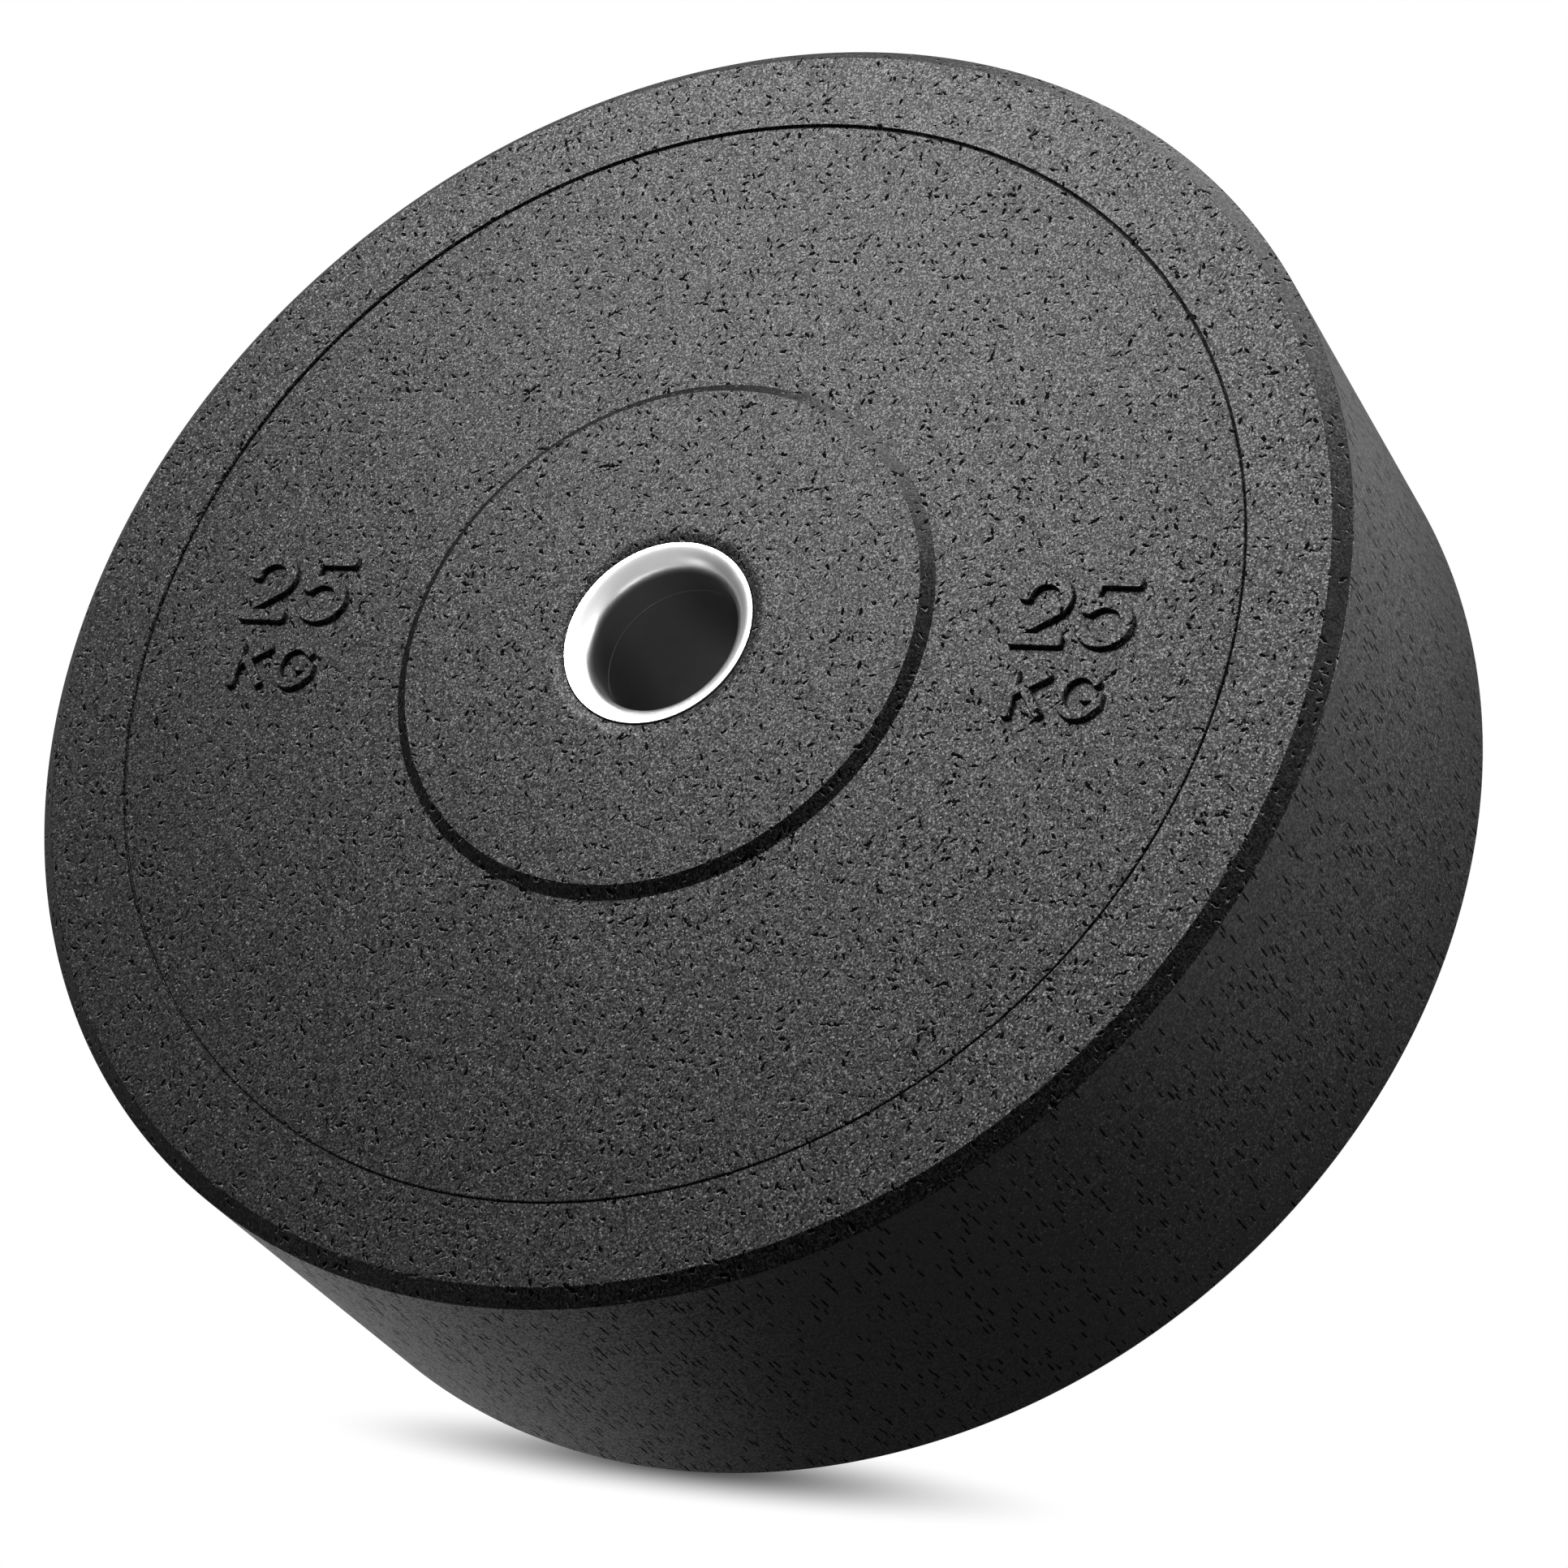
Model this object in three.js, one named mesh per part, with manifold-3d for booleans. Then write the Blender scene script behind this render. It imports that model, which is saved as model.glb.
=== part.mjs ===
// Bumper plate of 25 kg: a disc moulded from rubber crumb round a steel insert.
// Millimetres. The plate lies flat, with its marked front face up. Z is the axis of the bore,
// the marks read along X, and the origin is the centre of the bore at the back hub face.

import * as THREE from 'three';
import { mergeVertices } from 'three/addons/utils/BufferGeometryUtils.js';
import Module from 'manifold-3d';

const wasm = await Module();
wasm.setup();

// Rubber disc
const plateDiameter = 450;
const rimThickness = 146;
const edgeBevelWidth = 5.3;
const edgeBevelDepth = 4.3;
const rimBandWidth = 31.8;
const webRecess = 0.5;
const creaseWidth = 1;
const creaseDepth = 0.8;

// Raised hub, the same on both faces
const hubFaceDiameter = 177.4;
const hubRise = 2.5;
const hubSlopeWidth = 3.9;

// Shallow dish in the hub face round the lip ring
const dishWidth = 4.6;
const dishDepth = 0.6;
const dishRings = 3;
const dishOuterSlopeShare = 0.25;

// Steel insert
const boreDiameter = 50.5;
const lipDiameter = 65;
const lipFlangeThickness = 3;
const spigotWall = 2.5;
const spigotLength = 15;
const sleeveWall = 4.5;

// Anchor plates inside the rubber
const anchorDiameter = 120;
const anchorThickness = 3;
const anchorEdgeHeight = 9;
const anchorDepth = 26;
const keyingHoleDiameter = 14;
const keyingHoleCount = 6;
const keyingRingShare = 0.46;

// Raised weight marks, two blocks on each face
const markRise = 1.8;
const numberHeight = 25.2;
const numberWidth = 17.9;
const numberStroke = 4.2;
const numberGap = 3.8;
const numberBaseline = 0.2;
const unitHeight = 16.6;
const unitWidth = 14.6;
const unitStroke = 3;
const unitGap = 2.6;
const lineGap = 8;
const markRadiusShare = 0.469;
const strokeCornerShare = 0.3;

// Where the bowls of the marks start and end, in degrees
const bowlAngles = {
  twoStart: 180,
  twoEnd: -42,
  fiveStart: 142,
  fiveEnd: -164,
  gStart: 36,
  gEnd: 324,
};

// Clearance between neighbours, and how far cuts and joined solids run past each other
const fitGap = 0.3;
const overrun = 1;

// Steps of round shapes
const discSegments = 96;
const insertSegments = 48;
const mouthSteps = 7;
const holeSegments = 12;
const strokeSteps = 7;
const cornerSteps = 2;

// Sizes that follow
const plateRadius = plateDiameter / 2;
const rimFace = rimThickness / 2;
const webFace = rimFace - webRecess;
const hubFace = rimFace + hubRise;
const stepRadius = plateRadius - rimBandWidth;
const hubFaceRadius = hubFaceDiameter / 2;
const hubFootRadius = hubFaceRadius + hubSlopeWidth;
const boreRadius = boreDiameter / 2;
const lipRadius = lipDiameter / 2;
const lipRounding = lipRadius - boreRadius;
const spigotRadius = boreRadius + spigotWall;
const sleeveRadius = boreRadius + sleeveWall;
const sleeveEnd = hubFace - lipFlangeThickness - fitGap;
const spigotEnd = hubFace - lipFlangeThickness - spigotLength;
const anchorRadius = anchorDiameter / 2;
const anchorInnerRadius = sleeveRadius + fitGap;
const anchorBase = hubFace - anchorDepth;
const anchorTop = anchorBase + anchorThickness;
const anchorEdgeTop = anchorTop + anchorEdgeHeight;
const anchorEdgeRadius = anchorRadius - anchorThickness;
const keyingRingRadius = THREE.MathUtils.lerp(anchorInnerRadius, anchorEdgeRadius, keyingRingShare);
const markRadius = THREE.MathUtils.lerp(hubFootRadius, stepRadius, markRadiusShare);

// Colours from the photograph
const crumbRubber = new THREE.MeshStandardMaterial({ color: 0x4a4a4b, roughness: 0.85, metalness: 0 });
const polishedSteel = new THREE.MeshStandardMaterial({ color: 0xe6e7e9, roughness: 0.15, metalness: 1 });
const plainSteel = new THREE.MeshStandardMaterial({ color: 0x9a9c9f, roughness: 0.4, metalness: 1 });

// A closed geometry as a solid that can be joined and cut
function solidFrom(geometry) {
  geometry.deleteAttribute('normal');
  geometry.deleteAttribute('uv');
  const merged = mergeVertices(geometry);
  const index = merged.index.array;
  const kept = [];
  for (let i = 0; i < index.length; i += 3) {
    const [a, b, c] = index.slice(i, i + 3);
    if (a !== b && b !== c && c !== a) {
      kept.push(a, b, c);
    }
  }
  const vertProperties = new Float32Array(merged.attributes.position.array);
  const triVerts = new Uint32Array(kept);
  return new wasm.Manifold(new wasm.Mesh({ numProp: 3, vertProperties, triVerts }));
}

// A solid back as a geometry
function geometryFrom(solid) {
  const mesh = solid.getMesh();
  const geometry = new THREE.BufferGeometry();
  geometry.setAttribute('position', new THREE.BufferAttribute(mesh.vertProperties, mesh.numProp));
  geometry.setIndex(new THREE.BufferAttribute(mesh.triVerts, 1));
  return geometry;
}

// A ring or disc turned about Z from [radius, height] points, which run clockwise in section
function turned(profile, segments) {
  const onAxis = profile[0][0] === 0;
  const loop = onAxis ? profile : [...profile, profile[0]];
  const points = loop.map(([radius, height]) => new THREE.Vector2(radius, height));
  const geometry = new THREE.LatheGeometry(points.reverse(), segments);
  return solidFrom(geometry.rotateX(Math.PI / 2));
}

// The same profile on the other face of the plate, kept in the same sense
function mirrored(profile) {
  return profile.map(([radius, height]) => [radius, -height]).reverse();
}

// The front half turned over about Y, as the back half
function turnedOver(solid) {
  return solid.rotate([0, 180, 0]);
}

// Disc without its bore
function discSolid() {
  const creaseFoot = stepRadius - creaseWidth;
  const creaseMiddle = stepRadius - creaseWidth / 2;
  const front = [
    [0, hubFace],
    [hubFaceRadius, hubFace],
    [hubFootRadius, webFace],
    [creaseFoot, webFace],
    [creaseMiddle, webFace - creaseDepth],
    [stepRadius, rimFace],
    [plateRadius - edgeBevelWidth, rimFace],
    [plateRadius, rimFace - edgeBevelDepth],
  ];
  return turned([...front, ...mirrored(front)], discSegments);
}

// Depth of the dish at a share of its width, from the ring outwards
function dishDrop(share) {
  const inner = 1 - share;
  return dishDepth * inner * (dishOuterSlopeShare + inner * (1 - dishOuterSlopeShare));
}

// Room for the sleeve and both lip rings, with the dish round each ring
function insertPocket() {
  const seatRadius = lipRadius + fitGap;
  const holeRadius = sleeveRadius + fitGap;
  const seatFloor = sleeveEnd;
  const step = 1 / dishRings;
  const dish = [];
  for (let ring = 0; ring < dishRings; ring += 1) {
    dish.unshift([seatRadius + dishWidth * ring * step, hubFace - dishDrop(ring * step)]);
  }
  const mouthRadius = seatRadius + dishWidth * (1 + step);
  const mouthTop = hubFace + dishDrop(1 - step);
  const front = [
    [0, mouthTop + overrun],
    [mouthRadius, mouthTop + overrun],
    [mouthRadius, mouthTop],
    ...dish,
    [seatRadius, seatFloor],
    [holeRadius, seatFloor],
  ];
  return turned([...front, ...mirrored(front)], insertSegments);
}

// Section of an anchor plate: a flat disc with its outer edge turned up, grown by a margin
function anchorSection(margin, innerRadius) {
  return [
    [innerRadius, anchorTop + margin],
    [anchorEdgeRadius - margin, anchorTop + margin],
    [anchorEdgeRadius - margin, anchorEdgeTop + margin],
    [anchorRadius + margin, anchorEdgeTop + margin],
    [anchorRadius + margin, anchorBase - margin],
    [innerRadius, anchorBase - margin],
  ];
}

// Upright cylinders on the ring of keying holes
function keyingPins(radius, bottom, top) {
  const pins = [];
  for (let i = 0; i < keyingHoleCount; i += 1) {
    const angle = (i / keyingHoleCount) * 2 * Math.PI;
    const pin = new THREE.CylinderGeometry(radius, radius, top - bottom, holeSegments);
    pin.rotateX(Math.PI / 2);
    pin.translate(
      keyingRingRadius * Math.cos(angle),
      keyingRingRadius * Math.sin(angle),
      (top + bottom) / 2,
    );
    pins.push(solidFrom(pin));
  }
  return wasm.Manifold.union(pins);
}

// Front anchor plate with its keying holes
function anchorSolid() {
  const plate = turned(anchorSection(0, anchorInnerRadius), insertSegments);
  const holes = keyingPins(keyingHoleDiameter / 2, anchorBase - overrun, anchorTop + overrun);
  return plate.subtract(holes);
}

// Room in the rubber for the front anchor plate, bridged by the rubber in its keying holes
function anchorPocket() {
  const room = turned(anchorSection(fitGap, sleeveRadius - overrun), insertSegments);
  const keys = keyingPins(keyingHoleDiameter / 2 - fitGap, anchorBase - overrun, anchorTop + overrun);
  return room.subtract(keys);
}

// Outline points of one end of a stroke, square with rounded corners
function strokeEnd(tip, along, width) {
  const corner = width * strokeCornerShare;
  const flat = width / 2 - corner;
  const across = new THREE.Vector2(-along.y, along.x);
  const points = [];
  for (const side of [1, -1]) {
    for (let i = 0; i <= cornerSteps; i += 1) {
      const turn = (i / cornerSteps) * (Math.PI / 2);
      const angle = side > 0 ? turn : Math.PI / 2 - turn;
      const point = tip.clone();
      point.addScaledVector(across, side * (flat + corner * Math.cos(angle)));
      point.addScaledVector(along, corner * Math.sin(angle));
      points.push(point);
    }
  }
  return points;
}

// A stroke of even width along a path, raised from under the web to the top of the marks
function strokeSolid(path, width) {
  const centre = path.getPoints(strokeSteps);
  const last = centre.length - 1;
  const direction = (from, to) => centre[to].clone().sub(centre[from]).normalize();
  const left = [];
  const right = [];
  for (let i = 1; i < last; i += 1) {
    const before = direction(i - 1, i);
    const along = before.clone().add(direction(i, i + 1)).normalize();
    const reach = width / 2 / along.dot(before);
    const across = new THREE.Vector2(-along.y, along.x);
    left.push(centre[i].clone().addScaledVector(across, reach));
    right.unshift(centre[i].clone().addScaledVector(across, -reach));
  }
  const outline = [
    ...left,
    ...strokeEnd(centre[last], direction(last - 1, last), width),
    ...right,
    ...strokeEnd(centre[0], direction(1, 0), width),
  ];
  const depth = markRise + overrun;
  const geometry = new THREE.ExtrudeGeometry(new THREE.Shape(outline), { depth, bevelEnabled: false });
  return solidFrom(geometry.translate(0, 0, webFace - overrun));
}

// A path of straight runs
function straight(...points) {
  return new THREE.Path(points.map(([x, y]) => new THREE.Vector2(x, y)));
}

// An arc of an ellipse between two angles in degrees
function arc(x, y, radiusX, radiusY, from, to) {
  const start = THREE.MathUtils.degToRad(from);
  const end = THREE.MathUtils.degToRad(to);
  return new THREE.Path().absellipse(x, y, radiusX, radiusY, start, end, from > to);
}

// Figure 2: a bowl that runs down to the left, on a flat foot
function figureTwo({ width, height, half, inset }) {
  const radiusX = width / 2 - half;
  const radiusY = height / 4;
  const middle = height - half - radiusY;
  const bowl = arc(width / 2, middle, radiusX, radiusY, bowlAngles.twoStart, bowlAngles.twoEnd);
  bowl.lineTo(inset * 1.3, half * 2.2);
  return [bowl, straight([inset, half], [width - inset, half])];
}

// Figure 5: a flat top that turns down into a short upright, and a bowl
function figureFive({ width, height, half, inset }) {
  const overhang = inset / 2;
  const radiusX = width / 2 - half + overhang;
  const radiusY = height * 0.35 - half;
  const top = height - half;
  return [
    straight([width - inset, top], [half + inset, top], [half, height / 2]),
    arc(width / 2 - overhang, half + radiusY, radiusX, radiusY, bowlAngles.fiveStart, bowlAngles.fiveEnd),
  ];
}

// Letter K: a stem and two arms
function letterK({ width, height, half, inset }) {
  const right = width - half;
  return [
    straight([half, inset], [half, height - inset]),
    straight([half, height / 2 - inset / 4], [right - inset / 2, height - half]),
    straight([width / 2 - inset, height / 2 + inset / 2], [right - inset, half]),
  ];
}

// Letter G: an open ring that ends in a bar turned inwards
function letterG({ width, height, half, inset }) {
  const right = width - half;
  const bar = height / 2 - inset / 2;
  const overhang = inset / 2;
  const radiusX = width / 2 - half + overhang;
  const radiusY = height / 2 - half + overhang / 2;
  const middle = (height + overhang) / 2;
  const ring = arc(width / 2 - overhang, middle, radiusX, radiusY, bowlAngles.gStart, bowlAngles.gEnd);
  ring.lineTo(right, height / 3);
  ring.lineTo(right, bar);
  ring.lineTo(width / 2 + inset, bar);
  return [ring];
}

// One line of marks, centred on X and standing on a baseline
function markLine(glyphs, { width, height, stroke, gap, baseline }) {
  const length = glyphs.length * (width + gap) - gap;
  const form = { width, height, half: stroke / 2, inset: stroke * strokeCornerShare };
  return glyphs.flatMap((glyph, i) => {
    const offset = [i * (width + gap) - length / 2, baseline, 0];
    return glyph(form).map((path) => strokeSolid(path, stroke).translate(offset));
  });
}

// Both blocks of marks on the front face, the number above the bore's centre line
function frontMarks() {
  const number = {
    width: numberWidth,
    height: numberHeight,
    stroke: numberStroke,
    gap: numberGap,
    baseline: numberBaseline,
  };
  const unit = {
    width: unitWidth,
    height: unitHeight,
    stroke: unitStroke,
    gap: unitGap,
    baseline: numberBaseline - lineGap - unitHeight,
  };
  const lines = [
    ...markLine([figureTwo, figureFive], number),
    ...markLine([letterK, letterG], unit),
  ];
  const block = wasm.Manifold.union(lines);
  return block.translate([markRadius, 0, 0]).add(block.translate([-markRadius, 0, 0]));
}

// Rubber disc with its marks and the room for its insert
function bodySolid() {
  const marks = frontMarks();
  const pocket = anchorPocket();
  return discSolid()
    .subtract(insertPocket())
    .subtract(pocket)
    .subtract(turnedOver(pocket))
    .add(marks)
    .add(turnedOver(marks));
}

// Sleeve tube, widened at both ends for the spigots of the lip rings
function sleeveSolid() {
  const seatRadius = spigotRadius + fitGap;
  const seatFloor = spigotEnd - fitGap;
  const front = [
    [boreRadius, seatFloor],
    [seatRadius, seatFloor],
    [seatRadius, sleeveEnd],
    [sleeveRadius, sleeveEnd],
  ];
  return turned([...front, ...mirrored(front)], insertSegments);
}

// Front lip ring: a flange with a rounded mouth and a spigot that enters the sleeve
function lipRingSolid() {
  const mouth = [];
  for (let i = 0; i <= mouthSteps; i += 1) {
    const angle = (i / mouthSteps) * (Math.PI / 2);
    mouth.push([
      lipRadius - lipRounding * Math.cos(angle),
      hubFace - lipRounding + lipRounding * Math.sin(angle),
    ]);
  }
  const flangeBase = hubFace - lipFlangeThickness;
  return turned([
    [boreRadius, spigotEnd],
    ...mouth,
    [lipRadius, flangeBase],
    [spigotRadius, flangeBase],
    [spigotRadius, spigotEnd],
  ], insertSegments);
}

// One named piece
function piece(name, solid, material) {
  const mesh = new THREE.Mesh(geometryFrom(solid), material);
  mesh.name = name;
  return mesh;
}

const lipRing = lipRingSolid();
const anchor = anchorSolid();

const insert = new THREE.Group();
insert.add(
  piece('sleeve_tube', sleeveSolid(), plainSteel),
  piece('front_lip_ring', lipRing, polishedSteel),
  piece('back_lip_ring', turnedOver(lipRing), polishedSteel),
  piece('front_anchor_plate', anchor, plainSteel),
  piece('back_anchor_plate', turnedOver(anchor), plainSteel),
);

const plate = new THREE.Group();
plate.add(piece('rubber_body', bodySolid(), crumbRubber), insert);
plate.position.z = hubFace;

const model = new THREE.Group();
model.add(plate);

export default model;
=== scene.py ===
import math

import bpy
from mathutils import Matrix, Vector


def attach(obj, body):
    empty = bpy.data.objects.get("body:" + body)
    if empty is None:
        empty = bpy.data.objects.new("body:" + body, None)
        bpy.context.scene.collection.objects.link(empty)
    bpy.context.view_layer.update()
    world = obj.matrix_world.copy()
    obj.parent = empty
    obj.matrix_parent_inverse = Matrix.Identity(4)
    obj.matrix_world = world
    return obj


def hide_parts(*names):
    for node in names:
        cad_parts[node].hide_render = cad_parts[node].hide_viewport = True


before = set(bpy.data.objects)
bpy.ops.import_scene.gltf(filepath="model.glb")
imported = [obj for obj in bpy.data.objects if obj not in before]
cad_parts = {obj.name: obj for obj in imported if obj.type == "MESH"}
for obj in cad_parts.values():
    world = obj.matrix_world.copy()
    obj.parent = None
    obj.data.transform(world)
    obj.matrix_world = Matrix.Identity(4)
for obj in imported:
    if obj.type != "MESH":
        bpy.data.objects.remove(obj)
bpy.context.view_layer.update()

# Lengths are in millimetres here and become metres where a mesh, lamp or camera is made.
# Heights are measured from the middle plane of the plate, which lies MIDDLE above the floor.
MM = 0.001
MIDDLE = 75.5

# Rubber disc
DISC_RADIUS = 225
RIM_FACE = 73
WEB_FACE = 72.5
HUB_FACE = 75.5
BEVEL_WIDTH = 5.3
BEVEL_DEPTH = 4.3
STEP_RADIUS = 193.2
CREASE_WIDTH = 1
CREASE_DEPTH = 0.8
HUB_RADIUS = 88.7
HUB_FOOT_RADIUS = 92.6
DISH_WIDTH = 4.6
DISH_DEPTH = 0.6
DISH_LIP = 0.15

# Radii of the rounded edges of the disc
HUB_FILLET = 0.35
HUB_FOOT_FILLET = 0.6
CREASE_EDGE_FILLET = 0.6
CREASE_FILLET = 0.15
BAND_FILLET = 0.12
BEVEL_FILLET = 0.5
WALL_FILLET = 0.8

# Steel insert
BORE_RADIUS = 25.25
LIP_RADIUS = 32.5
LIP_THICKNESS = 3
MOUTH_FOOT = HUB_FACE - (LIP_RADIUS - BORE_RADIUS)
SPIGOT_RADIUS = 27.75
SPIGOT_LENGTH = 15
SLEEVE_RADIUS = 29.75
FIT_GAP = 0.3
SEAM = 0.02
BORE_FILLET = 0.04
SEAT_FILLET = 0.2
STEEL_FILLET = 0.3
LIP_EDGE_FILLET = 0.25

# Anchor plates inside the rubber
ANCHOR_RADIUS = 60
ANCHOR_THICKNESS = 3
ANCHOR_EDGE = 9
ANCHOR_DEPTH = 26
KEY_RADIUS = 6.7
KEY_COUNT = 6
KEY_RING_SHARE = 0.46
KEY_OVERLAP = 1

# Raised weight marks
MARK_RISE = 1.8
MARK_ROUNDING = 0.35
MARK_DRAFT = 0.15
MARK_CENTRE = 139.8
MARK_ROOT = 1
NUMBER = {"width": 17.9, "height": 25.2, "stroke": 4.2, "gap": 3.8, "baseline": 0.2}
UNIT = {"width": 14.6, "height": 16.6, "stroke": 3, "gap": 2.6, "baseline": -24.4}
CORNER_SHARE = 0.3

# Bowls of the glyphs: angles in degrees from start to end, and the foot of the 2's bowl and
# the height of the 5's as shares of insets, half strokes and the whole height
TWO_BOWL = (180, -42)
TWO_FOOT_SHARES = (1.3, 2.2)
FIVE_BOWL = (142, -164)
FIVE_BOWL_SHARE = 0.35
G_BOWL = (36, 324)

# Numbers of steps in which curves are drawn
DISC_STEPS = 480
INSERT_STEPS = 192
KEY_STEPS = 32
ARC_STEPS = 26
MOUTH_STEPS = 24
DISH_STEPS = 8
ROUNDING_STEPS = 4

# Share of the shorter side of a corner that its rounding may take
ROOM_SHARE = 0.45

# Shading: the bend in degrees from which an edge is sharp, and the pull of large faces
DISC_SHARP = 28
LIP_SHARP = 40
NORMAL_WEIGHT = 80


# Mesh helpers

def mesh_object(name, points, faces):
    mesh = bpy.data.meshes.new(name)
    mesh.from_pydata([Vector(p) * MM for p in points], [], faces)
    mesh.validate()
    made = bpy.data.objects.new(name, mesh)
    bpy.context.scene.collection.objects.link(made)
    return made


def rounded(profile):
    """Replaces each (radius, height, fillet) corner by an arc of that fillet."""
    out = []
    count = len(profile)
    for i, (radius, height, fillet) in enumerate(profile):
        corner = Vector((radius, height))
        if fillet == 0:
            out.append(corner)
            continue
        back = Vector(profile[i - 1][:2]) - corner
        ahead = Vector(profile[(i + 1) % count][:2]) - corner
        half = back.angle(ahead) / 2
        room = ROOM_SHARE * min(back.length, ahead.length)
        cut = min(fillet / math.tan(half), room)
        back.normalize()
        ahead.normalize()
        centre = corner + (back + ahead).normalized() * (cut / math.cos(half))
        first = corner + back * cut - centre
        last = corner + ahead * cut - centre
        whole = first.angle(last)
        for k in range(ROUNDING_STEPS + 1):
            t = k / ROUNDING_STEPS
            mixed = first * math.sin((1 - t) * whole) + last * math.sin(t * whole)
            out.append(centre + mixed / math.sin(whole))
    return out


def both_faces(front):
    """Closes a front half profile with its mirror image, which is the back half."""
    return [*front, *[(r, -z, fillet) for r, z, fillet in reversed(front)]]


def lathe(name, profile, steps):
    """Turns a closed profile about Z. Faces point outwards if it runs clockwise in section."""
    count = len(profile)
    points = []
    for k in range(steps):
        angle = 2 * math.pi * k / steps
        points += [(r * math.cos(angle), r * math.sin(angle), z + MIDDLE) for r, z in profile]
    faces = []
    for k in range(steps):
        here = k * count
        there = (k + 1) % steps * count
        for i in range(count):
            j = (i + 1) % count
            faces.append((here + i, here + j, there + j, there + i))
    return mesh_object(name, points, faces)


def prism(name, rings):
    """Closes a stack of outlines, each a list of points of equal count, into a solid."""
    count = len(rings[0])
    points = [p for ring in rings for p in ring]
    faces = [tuple(reversed(range(count)))]
    for level in range(len(rings) - 1):
        low = level * count
        high = low + count
        for i in range(count):
            j = (i + 1) % count
            faces.append((low + i, low + j, high + j, high + i))
    faces.append(tuple(range(high, high + count)))
    return mesh_object(name, points, faces)


def combine(target, tools):
    """Joins the tools to the target and deletes them."""
    for tool in tools:
        change = target.modifiers.new("union", "BOOLEAN")
        change.operation = "UNION"
        change.solver = "MANIFOLD"
        change.object = tool
    graph = bpy.context.evaluated_depsgraph_get()
    result = bpy.data.meshes.new_from_object(target.evaluated_get(graph))
    target.modifiers.clear()
    target.data = result
    for tool in tools:
        bpy.data.objects.remove(tool)
    return target


def shade(piece, angle):
    """Smooth shading with sharp edges, where the large flat faces keep their own normals."""
    mesh = piece.data
    mesh.shade_smooth()
    mesh.set_sharp_from_angle(angle=math.radians(angle))
    weighted = piece.modifiers.new("weighted_normals", "WEIGHTED_NORMAL")
    weighted.weight = NORMAL_WEIGHT
    weighted.keep_sharp = True


# Weight marks, drawn as strokes of even width

def arc(x, y, radius_x, radius_y, start, end):
    turn = [math.radians(start + (end - start) * k / ARC_STEPS) for k in range(ARC_STEPS + 1)]
    return [Vector((x + radius_x * math.cos(a), y + radius_y * math.sin(a))) for a in turn]


def line(*points):
    return [Vector(p) for p in points]


def figure_two(width, height, half, inset):
    bowl_height = height / 4
    bowl = arc(
        width / 2, height - half - bowl_height, width / 2 - half, bowl_height, *TWO_BOWL
    )
    foot = line((inset * TWO_FOOT_SHARES[0], half * TWO_FOOT_SHARES[1]))
    return [bowl + foot, line((inset, half), (width - inset, half))]


def figure_five(width, height, half, inset):
    top = height - half
    overhang = inset / 2
    bowl_width = width / 2 - half + overhang
    bowl_height = height * FIVE_BOWL_SHARE - half
    return [
        line((width - inset, top), (half + inset, top), (half, height / 2)),
        arc(width / 2 - overhang, half + bowl_height, bowl_width, bowl_height, *FIVE_BOWL),
    ]


def letter_k(width, height, half, inset):
    return [
        line((half, inset), (half, height - inset)),
        line((half, height / 2 - inset / 4), (width - half - inset / 2, height - half)),
        line((width / 2 - inset, height / 2 + inset / 2), (width - half - inset, half)),
    ]


def letter_g(width, height, half, inset):
    right = width - half
    bar = height / 2 - inset / 2
    overhang = inset / 2
    ring_width = width / 2 - half + overhang
    ring_height = height / 2 - half + overhang / 2
    ring = arc(width / 2 - overhang, (height + overhang) / 2, ring_width, ring_height, *G_BOWL)
    return [ring + line((right, height / 3), (right, bar), (width / 2 + inset, bar))]


def stroke_end(tip, along, flat, corner):
    """A blunt end with two rounded corners."""
    across = Vector((-along.y, along.x))
    points = []
    for side in (1, -1):
        for k in range(ROUNDING_STEPS + 1):
            turn = k / ROUNDING_STEPS * math.pi / 2
            angle = turn if side > 0 else math.pi / 2 - turn
            reach = side * (flat + corner * math.cos(angle))
            points.append(tip + across * reach + along * (corner * math.sin(angle)))
    return points


def stroke_outline(path, flat, corner):
    """Outline of a stroke of half width flat + corner, with mitred bends."""
    half = flat + corner
    left = []
    right = []
    for i in range(1, len(path) - 1):
        before = (path[i] - path[i - 1]).normalized()
        after = (path[i + 1] - path[i]).normalized()
        along = (before + after).normalized()
        reach = half / along.dot(before)
        across = Vector((-along.y, along.x))
        left.append(path[i] + across * reach)
        right.insert(0, path[i] - across * reach)
    start = stroke_end(path[0], (path[0] - path[1]).normalized(), flat, corner)
    end = stroke_end(path[-1], (path[-1] - path[-2]).normalized(), flat, corner)
    outline = [*left, *end, *right, *start]
    return outline[::-1]


def stroke_solid(path, stroke, shift):
    """A raised stroke with drafted walls and a rounded upper edge."""
    corner = stroke * CORNER_SHARE
    flat = stroke / 2 - corner
    foot = WEB_FACE + MIDDLE
    top = foot + MARK_RISE
    levels = [(foot - MARK_ROOT, corner + MARK_DRAFT), (foot, corner + MARK_DRAFT)]
    for k in range(ROUNDING_STEPS + 1):
        turn = k / ROUNDING_STEPS * math.pi / 2
        lowered = MARK_ROUNDING * (1 - math.sin(turn))
        levels.append((top - lowered, corner - MARK_ROUNDING * (1 - math.cos(turn))))
    rings = []
    for height, reach in levels:
        outline = stroke_outline(path, flat, reach)
        rings.append([(p.x + shift[0], p.y + shift[1], height) for p in outline])
    return prism("stroke", rings)


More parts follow.
